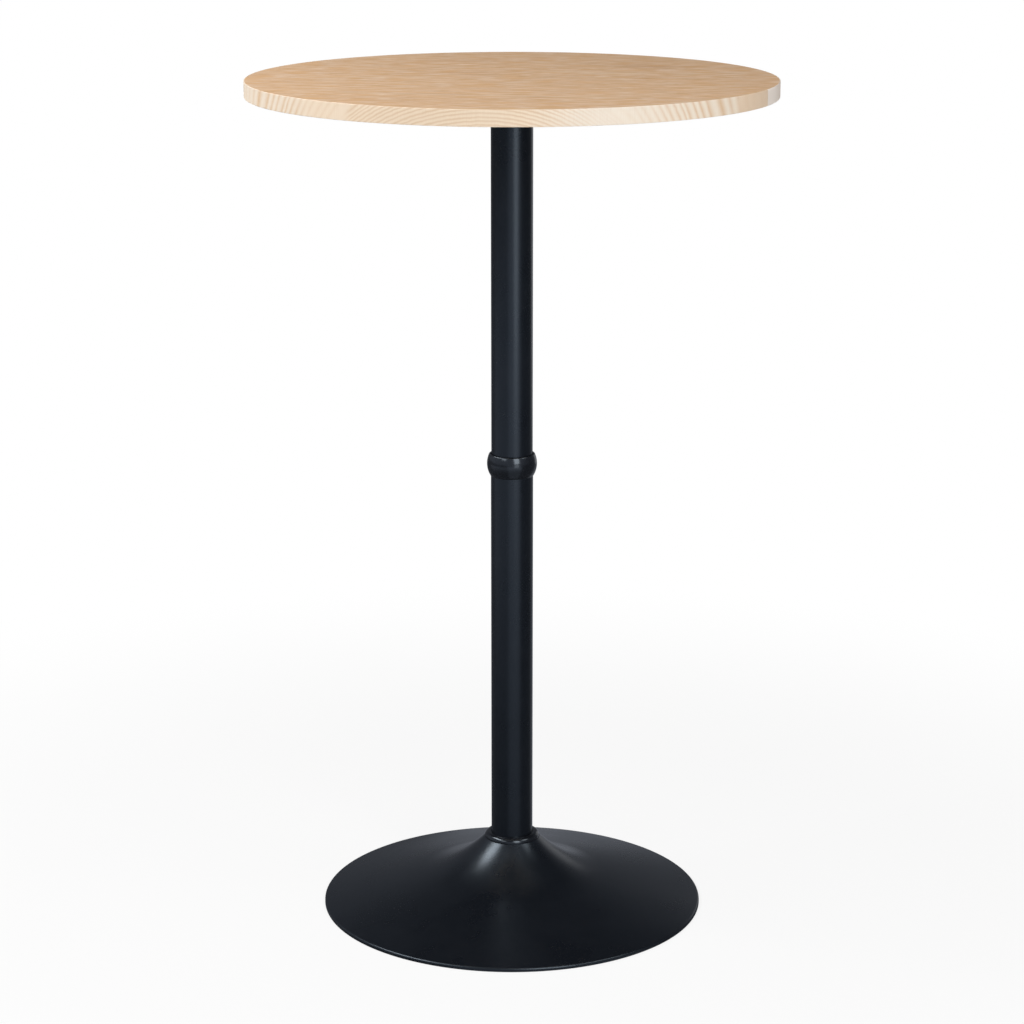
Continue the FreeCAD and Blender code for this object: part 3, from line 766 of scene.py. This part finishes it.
def mounting_plate():
    """The pressed disc's section: flat rim, sloping dish wall and dish floor, of one thickness."""
    drop = PLATE_UNDERSIDE - COLUMN_TOP
    rim_start = DISH_FLOOR_RADIUS + drop / math.tan(DISH_WALL_SLOPE)
    lean = PLATE_THICKNESS * math.tan(DISH_WALL_SLOPE / 2)
    wide = DISH_BEND + PLATE_THICKNESS
    inside = COLUMN_TOP + PLATE_THICKNESS
    profile = outline(
        (PLATE_HOLE, COLUMN_TOP, 0), (DISH_FLOOR_RADIUS, COLUMN_TOP, wide), (rim_start, PLATE_UNDERSIDE, DISH_BEND),
        (PLATE_RADIUS, PLATE_UNDERSIDE, PLATE_EDGE_ROUND), (PLATE_RADIUS, TOP_UNDERSIDE, 0),
        (rim_start - lean, TOP_UNDERSIDE, wide), (DISH_FLOOR_RADIUS - lean, inside, DISH_BEND),
        (PLATE_HOLE, inside, 0))
    return turned("pressed_plate", profile, LARGE_TURNS)


def hex_radius(flats, angle):
    """How far a hexagon's side lies from its axis at an angle."""
    sixth = math.pi / 3
    return flats / 2 / np.cos((angle + sixth / 2) % sixth - sixth / 2)


def hex_bolt(radius, length, flats, head):
    """A bolt, head down, as rows of points round its axis.

    The head's sides follow the hexagon. Its crown is a cone that starts inside the inscribed circle, so the sides
    end in arcs. The thread is a cosine that moves on by one pitch in each turn.
    """
    angle = turn_angles(BOLT_TURNS)
    side = hex_radius(flats, angle)
    crown_radius = flats / 2 * PLATE_BOLT_CROWN_SHARE
    crown = -head + (side - crown_radius) * math.tan(PLATE_BOLT_CROWN_SLOPE)
    rows = [(0, -head), (crown_radius, -head), (side, crown), (side, 0), (radius, 0)]
    pitch = radius / PITCHES_PER_RADIUS
    heights = np.arange(pitch, length, pitch / ROWS_PER_PITCH)
    ridge = np.cos(2 * math.pi * (heights[:, None] / pitch) - angle)
    rows += [(radius - pitch * THREAD_DEPTH_SHARE * (1 - wave), height) for height, wave in zip(heights, ridge)]
    rows += [(radius * BOLT_TIP_SHARE, length), (0, length)]
    return bolt_rows(rows, angle)


def plate_bolts():
    """Hexagon bolts that point up, each head's upper side on its washer."""
    bolt = hex_bolt(PLATE_BOLT_RADIUS, PLATE_BOLT_LENGTH, PLATE_BOLT_FLATS, PLATE_BOLT_HEAD)
    seat = PLATE_UNDERSIDE - PLATE_WASHER_THICKNESS
    return piece("hex_bolts", [moved(bolt, x, y, seat) for x, y in bolt_places()], wrap_rows=False)


def plate_washers():
    """Flat rings with the lower outer edge rounded, moved to the bolts."""
    low = PLATE_UNDERSIDE - PLATE_WASHER_THICKNESS
    profile = outline((PLATE_WASHER_HOLE, low, 0), (PLATE_WASHER_RADIUS, low, WASHER_ROUND),
                      (PLATE_WASHER_RADIUS, PLATE_UNDERSIDE, 0), (PLATE_WASHER_HOLE, PLATE_UNDERSIDE, 0))
    washer = around(profile, BOLT_TURNS)
    return piece("bolt_washers", [moved(washer, x, y) for x, y in bolt_places()])


# Column

def tube(name, radius, low, high):
    """A ring of the wall's thickness from low to high, with its outer edges rounded."""
    profile = outline((radius - TUBE_WALL, low, 0), (radius, low, TUBE_END_ROUND), (radius, high, TUBE_END_ROUND),
                      (radius - TUBE_WALL, high, 0))
    return turned(name, profile, SMALL_TURNS)


def belly_arc(belly, end):
    """The arc that leaves the belly upright and ends at the end. Its radius is (inset² + rise²) / 2 inset."""
    inset, rise = belly[0] - end[0], end[1] - belly[1]
    radius = (inset * inset + rise * rise) / (2 * inset)
    angle = np.linspace(0, 1, BARREL_POINTS)[1:, None] * math.asin(rise / radius)
    return np.array(belly) + radius * np.concatenate([np.cos(angle) - 1, np.sin(angle)], 1)


def collar():
    """The barrel's outside in two arcs, a lip rounded on from the upper one, and stepped bores for the tubes."""
    upper_bore, lower_bore = UPPER_TUBE_RADIUS + SLIP_FIT, LOWER_TUBE_RADIUS + SLIP_FIT
    belly = (COLLAR_RADIUS, JOINT_HEIGHT)
    crown_centre = np.array([COLLAR_RADIUS - COLLAR_CROWN, JOINT_HEIGHT])
    lean = math.asin((COLLAR_TOP - COLLAR_LIP_ROUND - JOINT_HEIGHT) / (COLLAR_CROWN - COLLAR_LIP_ROUND))
    shoulder = crown_centre + COLLAR_CROWN * np.array([math.cos(lean), math.sin(lean)])
    up = belly_arc(belly, shoulder)
    down = belly_arc(belly, (lower_bore + COLLAR_FOOT_WALL, COLLAR_FOOT))
    lip = arc(shoulder - COLLAR_LIP_ROUND * unit(shoulder - crown_centre), COLLAR_LIP_ROUND, lean, math.pi / 2)
    notch, notch_floor = upper_bore + COLLAR_NOTCH_WIDTH, COLLAR_TOP - COLLAR_NOTCH_DEPTH
    inside = np.array([(notch, COLLAR_TOP), (notch, notch_floor), (upper_bore, notch_floor),
                       (upper_bore, UPPER_TUBE_FOOT), (STUD_HOLE, UPPER_TUBE_FOOT), (STUD_HOLE, LOWER_TUBE_TOP),
                       (lower_bore, LOWER_TUBE_TOP), (lower_bore, COLLAR_FOOT)])
    profile = np.concatenate([np.array([belly]), up, lip[1:], inside, down[::-1]])
    return turned("barrel_collar", profile, SMALL_TURNS * 2)


# Trumpet base

def leaning(slope):
    """Unit vectors that lean outward from the upright by the slopes, as (radius, height)."""
    return np.stack([np.sin(slope), np.cos(slope)], -1)


def trumpet_skin(depth):
    """The sheet's skin at a depth below its outer face, from the neck down to the brim.

    A hollow flare, a straight skirt tangent to it, and a rolled rim. The flare's radius is how far the neck's edge
    stands off the skirt's line, over one less the cosine of the turn between the slopes at the two.
    """
    neck_edge = np.array([NECK_RADIUS, NECK_HEIGHT])
    roll_centre = np.array([BASE_RADIUS - RIM_ROLL, RIM_HEIGHT - RIM_ROLL])
    skirt_end = roll_centre + RIM_ROLL * leaning(SKIRT_SLOPE)
    stand_off = (neck_edge - skirt_end) @ leaning(SKIRT_SLOPE)
    flare = stand_off / (1 - math.cos(NECK_SLOPE - SKIRT_SLOPE))
    centre = neck_edge + flare * leaning(NECK_SLOPE)
    first_slope = math.acos((centre[1] - NECK_HEIGHT) / (flare + depth))
    flare_arc = centre - (flare + depth) * leaning(np.linspace(first_slope, SKIRT_SLOPE, FLARE_POINTS))
    roll_arc = roll_centre + (RIM_ROLL - depth) * leaning(np.linspace(SKIRT_SLOPE, math.pi / 2, ROLL_POINTS))
    share = np.append(np.linspace(0, 1, SKIRT_POINTS)[1:-1], 1 - SUPPORT / BASE_RADIUS)[:, None]
    skirt = flare_arc[-1] + (roll_arc[0] - flare_arc[-1]) * share
    brim = [(BASE_RADIUS - depth, roll_centre[1] - SUPPORT), (BASE_RADIUS - depth, SHELL_FOOT)]
    return np.concatenate([flare_arc, skirt, roll_arc, np.array(brim)])


def base_shell():
    """The outer skin from the neck down to the brim, and the inner skin back up, turned about Z."""
    outer, inner = trumpet_skin(0), trumpet_skin(SHELL_SHEET)
    return turned("trumpet_shell", np.concatenate([outer, inner[::-1]]), LARGE_TURNS)


def neck_ring():
    """A quarter-round bead on the sheet's edge, over a sleeve that fits inside the shell's neck."""
    inner = LOWER_TUBE_RADIUS + SLIP_FIT
    crown = BEAD_ROUND_SHARE * min(BEAD_RADIUS - inner, BEAD_TOP - NECK_HEIGHT)
    sleeve = trumpet_skin(SHELL_SHEET)[0, 0] - BEAD_SLEEVE_ROOM
    profile = outline((inner, BEAD_FOOT, 0), (sleeve, BEAD_FOOT, 0), (sleeve, NECK_HEIGHT, 0),
                      (BEAD_RADIUS, NECK_HEIGHT, 0), (BEAD_RADIUS, BEAD_TOP, crown),
                      (inner, BEAD_TOP, BEAD_LIP_ROUND))
    return turned("neck_bead", profile, SMALL_TURNS * 2)


def ballast_plate():
    """A thick disc, chamfered below, with a countersunk hole for the bolt."""
    hole = BASE_BOLT_RADIUS + SLIP_FIT
    head = BASE_BOLT_HEAD_RADIUS + SLIP_FIT
    profile = outline(
        (head, BALLAST_FOOT, 0), (BALLAST_RADIUS - BALLAST_CHAMFER, BALLAST_FOOT, 0),
        (BALLAST_RADIUS, BALLAST_FOOT + BALLAST_CHAMFER, 0), (BALLAST_RADIUS, BALLAST_TOP, 0),
        (hole, BALLAST_TOP, 0), (hole, BALLAST_FOOT + head - hole, 0))
    return turned("ballast_disc", profile, LARGE_TURNS)


def inner_skin_height(radius):
    """The height of the sheet's inner face over a radius."""
    skin = trumpet_skin(SHELL_SHEET)
    return np.interp(radius, skin[:-2, 0], skin[:-2, 1])


def tack_welds():
    """Rippled fillet beads in the corner between the ballast's edge and the sheet above it.

    Along the bead (t from -1 to 1) the legs shrink as the square root of 1 - t to the sixth. Across it (s from 0 to
    1) the skin bulges by a sine, and bowed ripples add scales to it. The two legs close the section.
    """
    along = np.linspace(-1, 1, TACK_ROWS)[:, None]
    across = np.linspace(0, 1, TACK_COLUMNS)[None, :]
    size = TACK_LEG * np.sqrt(1 - along ** TACK_END_POWER * TACK_END_SHARE)
    place_along = along * TACK_LENGTH / 2
    ripple = np.abs(np.sin(math.pi * (place_along / TACK_RIPPLE + (across * 2 - 1) ** 2 / 2)))
    bulge = size * (TACK_BULGE_SHARE + TACK_RIPPLE_SHARE * ripple) * np.sin(math.pi * across) * math.sqrt(0.5)
    r = BALLAST_RADIUS + size * across + bulge
    z = np.minimum(BALLAST_TOP - size + size * across - bulge, inner_skin_height(r) - SLIP_FIT)
    back_r = BALLAST_RADIUS + size * np.array([1, 0])
    back_z = inner_skin_height(back_r) - SLIP_FIT
    back_z[:, 1] = np.minimum(back_z[:, 1], BALLAST_TOP)
    r, z = np.concatenate([r, back_r], 1), np.concatenate([z, back_z], 1)
    grids = []
    for angle in turn_angles(TACK_COUNT):
        grid = swung(r, z, place_along / BALLAST_RADIUS + angle)
        ends = [0 * end + end.mean(1, keepdims=True) for end in (grid[:1], grid[-1:])]
        grids.append(np.concatenate([ends[0], grid, ends[1]]).transpose(1, 0, 2))
    return piece("rippled_tacks", grids, wrap_columns=False)


def base_bolt():
    """A countersunk bolt with a hexagon socket in its head, flush with the ballast's foot.

    Its rows run from the drilled middle of the socket down its sides, out over the head, up the cone and the shank.
    """
    angle = turn_angles(BOLT_TURNS)
    socket = hex_radius(BASE_BOLT_SOCKET, angle)
    low, deep = BALLAST_FOOT, BALLAST_FOOT + BASE_BOLT_SOCKET_DEPTH
    cone_top = low + BASE_BOLT_HEAD_RADIUS - BASE_BOLT_RADIUS
    tip = BASE_BOLT_TOP - BASE_BOLT_RADIUS * (1 - BOLT_TIP_SHARE)
    rows = [(0, deep + BASE_BOLT_SOCKET / 6), (socket, deep), (socket, low + BASE_BOLT_ARRIS),
            (socket + BASE_BOLT_ARRIS, low), (BASE_BOLT_HEAD_RADIUS - BASE_BOLT_ARRIS, low),
            (BASE_BOLT_HEAD_RADIUS, low + BASE_BOLT_ARRIS), (BASE_BOLT_RADIUS, cone_top), (BASE_BOLT_RADIUS, tip),
            (BASE_BOLT_RADIUS * BOLT_TIP_SHARE, BASE_BOLT_TOP), (0, BASE_BOLT_TOP)]
    return piece("countersunk_bolt", [bolt_rows(rows, angle)], wrap_rows=False)


def foot_ring():
    """A flat ring under the rim, turned about Z. Its top follows the sheet's inner face."""
    outer, inner = FOOT_RING_RADIUS, FOOT_RING_RADIUS - FOOT_RING_WIDTH
    skin = trumpet_skin(SHELL_SHEET)
    over_ring = (skin[:, 0] > inner) & (skin[:, 0] < outer) & (skin[:, 1] > 3 * FOOT_RING_ROUND)
    lid = np.concatenate([[(inner, inner_skin_height(inner))], skin[over_ring]]) - np.array([0, SLIP_FIT])
    low = outline((inner, 0, FOOT_RING_ROUND), (outer, 0, FOOT_RING_ROUND), (outer, lid[-1, 1], 0),
                  (inner, lid[0, 1], 0))
    return turned("rubber_foot", np.concatenate([low[:-2], lid[::-1]]), LARGE_TURNS)


place(face_veneer(), "top_veneer", "wood_face", WOOD_FACE)
place(edge_band(), "edge_band", "wood_edge", WOOD_EDGE)
place(mounting_plate(), "mounting_plate", "powder_coat", POWDER_COAT)
place(plate_bolts(), "plate_bolts", "zinc", ZINC)
place(plate_washers(), "plate_washers", "zinc", ZINC)
place(tube("upper_post", UPPER_TUBE_RADIUS, UPPER_TUBE_FOOT, COLUMN_TOP),
      "upper_tube", "powder_coat", POWDER_COAT)
place(tube("lower_post", LOWER_TUBE_RADIUS, LOWER_TUBE_FOOT, LOWER_TUBE_TOP),
      "lower_tube", "powder_coat", POWDER_COAT)
place(collar(), "collar", "gloss_moulding", MOULDING)
place(neck_ring(), "neck_ring", "gloss_moulding", MOULDING)
place(base_shell(), "base_shell", "powder_coat", POWDER_COAT)
place(ballast_plate(), "ballast_plate", "raw_steel", RAW_STEEL)
place(tack_welds(), "tack_welds", "raw_steel", RAW_STEEL)
place(base_bolt(), "base_bolt", "zinc", ZINC)
place(foot_ring(), "foot_ring", "foot_rubber", FOOT_RUBBER)

INNER_FINISHES = {"tabletop_core": BOARD, "backing_veneer": BACKING, "insert_nuts": ZINC, "column_washer": ZINC,
                  "column_bolt": ZINC, "joint_stud": ZINC, "upper_tube_top_plug": RAW_STEEL,
                  "upper_tube_foot_plug": RAW_STEEL, "lower_tube_top_plug": RAW_STEEL,
                  "lower_tube_foot_plug": RAW_STEEL}
for node, material in INNER_FINISHES.items():
    frame["nodes"][node].material_slots[0].material = material


# Studio

CAMERA_PLACE = (0.0, -3.2547, 1.3305)
CAMERA_TILT = math.radians(14.64)
CAMERA_LENS = 101.507
SENSOR_WIDTH = 36.0
FAR_CLIP = 200.0
FLOOR_HALF = 60.0
FLOOR_GREY = (0.80, 0.80, 0.80, 1)
WHITE = (1, 1, 1, 1)

# Levels are (from, to, level at the first, level at the second), by metres from the table on the floor and by the
# sine of the angle above the level in the room. The fade is the floor's whiteness to the camera, and the rest is
# what gloss sees, which on the floor is painted light. Sectors are azimuths in degrees: the middle, full to either
# side of it, none from there on.
FLOOR_FADE = (0.5, 1.4, 0.86, 1.0)
FLOOR_LEVEL = 0.12
FLOOR_BEHIND = (18, 26, 48)
BEHIND_LEVELS = (0.3, 2.5, 0.43, 0.22)
FLOOR_FRONT = (168, 24, 42)
FRONT_LEVELS = (0.8, 2.2, 0.42, 1.0)
FRONT_END_LEVELS = (3.8, 7.0, 1.0, 0.5)
FLOOR_LEFT = (232, 30, 80)
LEFT_LEVELS = (0.8, 2.2, 0.14, 0.64)
LEFT_END_LEVELS = (2.4, 5.0, 1.0, 0.2)
ROOM_FRONT = (210, 55, 150)
ROOM_FRONT_LEVELS = (0.50, 0.68, 0.60, 0.0)
ROOM_LEVELS = (0.45, 0.68, 0.17, 0.03)
ROOM_TINT = (0.83, 0.88, 1.0, 1)

# The soft boxes: place, aim, width, height and radiance
SOFT_BOXES = {
    "key": ((-1.52, -0.11, 1.87), (0.0, 0.0, 0.1), 1.6, 0.56, 11.0),
    "front left": ((-1.35, -1.55, 1.75), (0.0, 0.0, 0.1), 0.8, 0.6, 4.2),
    "front": ((0.83, -2.0, 1.6), (0.0, 0.0, 0.6), 1.0, 1.6, 5.9),
    "right": ((1.85, -0.75, 2.2), (0.0, 0.0, 0.6), 1.0, 0.9, 4.6),
    "front low": ((0.86, -2.2, 0.42), (0.0, 0.0, 0.42), 0.9, 0.5, 2.0),
    "overhead": ((0.0, -0.2, 2.6), (0.0, 0.0, 0.4), 1.7, 1.6, 1.0),
    "back low": ((1.3, 1.9, 0.5), (0.0, 0.0, 0.3), 1.0, 0.9, 0.5),
}


def camera():
    data = bpy.data.cameras.new("camera")
    data.lens, data.sensor_width, data.clip_end = CAMERA_LENS, SENSOR_WIDTH, FAR_CLIP
    obj = bpy.data.objects.new("camera", data)
    obj.location = CAMERA_PLACE
    obj.rotation_euler = (math.pi / 2 - CAMERA_TILT, 0.0, 0.0)
    bpy.context.scene.collection.objects.link(obj)
    bpy.context.scene.camera = obj


def area_light(name, place_at, aim, width, height, radiance):
    """A soft box that faces the aim. Its power is radiance times its area times pi."""
    data = bpy.data.lights.new(name, "AREA")
    data.shape = "RECTANGLE"
    data.size, data.size_y = width, height
    data.energy = radiance * width * height * math.pi
    obj = bpy.data.objects.new(name, data)
    obj.location = place_at
    x, y, z = np.array(aim) - np.array(place_at)
    obj.rotation_euler = (math.acos(-z / math.hypot(x, y, z)), 0.0, math.atan2(y, x) - math.pi / 2)
    obj.visible_camera = False
    bpy.context.scene.collection.objects.link(obj)


def towards(tree, place, azimuth, full, none):
    """One near an azimuth, none far from it. Azimuths run clockwise from behind the table, seen from above.

    The value comes from the cosine of the angle between the azimuth and the level part of the place.
    """
    x, y, _ = tree.split(place)
    length = tree.length(tree.join(x, y))
    turn = math.radians(azimuth)
    along = tree.plus(tree.times(x, math.sin(turn)), tree.times(y, math.cos(turn)))
    cosines = [math.cos(math.radians(angle)) for angle in (none, full)]
    return tree.spread(tree.over(along, length), *cosines, smooth=True)


def rays(tree):
    """One for the camera's rays, and one for the rays that gloss or glass send on."""
    path = tree.node("LightPath").node.outputs
    return path["Is Camera Ray"], tree.most(path["Is Glossy Ray"], path["Is Transmission Ray"])


def floor():
    """A pale floor. Near the table it keeps the shadow; further off it fades into the white background.

    Gloss sees painted light on it, as emission rather than lamp light: in front, in a belt on the left and behind
    on the right, as between the soft boxes.
    """
    mesh = bpy.data.meshes.new("floor")
    corners = [(-1, -1), (1, -1), (1, 1), (-1, 1)]
    mesh.from_pydata([(x * FLOOR_HALF, y * FLOOR_HALF, 0) for x, y in corners], [], [(0, 1, 2, 3)])
    obj = bpy.data.objects.new("floor", mesh)
    bpy.context.scene.collection.objects.link(obj)
    material = bpy.data.materials.new("pale floor")
    material.use_nodes = True
    tree = Tree(material.node_tree)
    material.node_tree.nodes.remove(material.node_tree.nodes["Principled BSDF"])
    plain = tree.node("BsdfDiffuse", {"Color": FLOOR_GREY})
    place = tree.place_coordinates()
    away = tree.length(place)
    fade = tree.spread(away, *FLOOR_FADE, smooth=True)
    # Painted light: floor patches that glow to gloss only, standing in for floor lit by the soft boxes.
    behind = tree.times(towards(tree, place, *FLOOR_BEHIND), tree.spread(away, *BEHIND_LEVELS))
    front = tree.times(towards(tree, place, *FLOOR_FRONT), tree.spread(away, *FRONT_LEVELS))
    front = tree.times(front, tree.spread(away, *FRONT_END_LEVELS))
    belt = tree.times(tree.spread(away, *LEFT_LEVELS), tree.spread(away, *LEFT_END_LEVELS))
    left = tree.times(towards(tree, place, *FLOOR_LEFT), belt)
    level = tree.most(tree.most(behind, FLOOR_LEVEL), tree.most(front, left))
    camera_ray, gloss = rays(tree)
    tint = tree.blend(camera_ray, ROOM_TINT, WHITE)
    white = tree.node("Emission", {"Color": tint, "Strength": tree.most(camera_ray, level)})
    share = tree.most(tree.times(camera_ray, fade), gloss)
    mixed = tree.node("MixShader", {0: share, 1: plain, 2: white})
    material.node_tree.links.new(mixed, material.node_tree.nodes["Material Output"].inputs["Surface"])
    mesh.materials.append(material)


def world():
    """White to the camera. Gloss sees a room that is pale low down, most of all in front, and dark overhead."""
    world = bpy.data.worlds.new("studio")
    world.use_nodes = True
    tree = Tree(world.node_tree)
    background = world.node_tree.nodes["Background"]
    direction = tree.node("TexCoord", output="Generated")
    up = tree.split(direction)[2]
    front = tree.times(towards(tree, direction, *ROOM_FRONT), tree.spread(up, *ROOM_FRONT_LEVELS, smooth=True))
    level = tree.most(front, tree.spread(up, *ROOM_LEVELS, smooth=True))
    camera_ray, gloss = rays(tree)
    strength = tree.most(tree.times(level, gloss), camera_ray)
    world.node_tree.links.new(strength, background.inputs["Strength"])
    world.node_tree.links.new(tree.blend(camera_ray, ROOM_TINT, WHITE), background.inputs["Color"])
    bpy.context.scene.world = world


camera()
floor()
world()
for name, box in SOFT_BOXES.items():
    area_light(name, *box)
bpy.context.scene.view_settings.view_transform = "Standard"
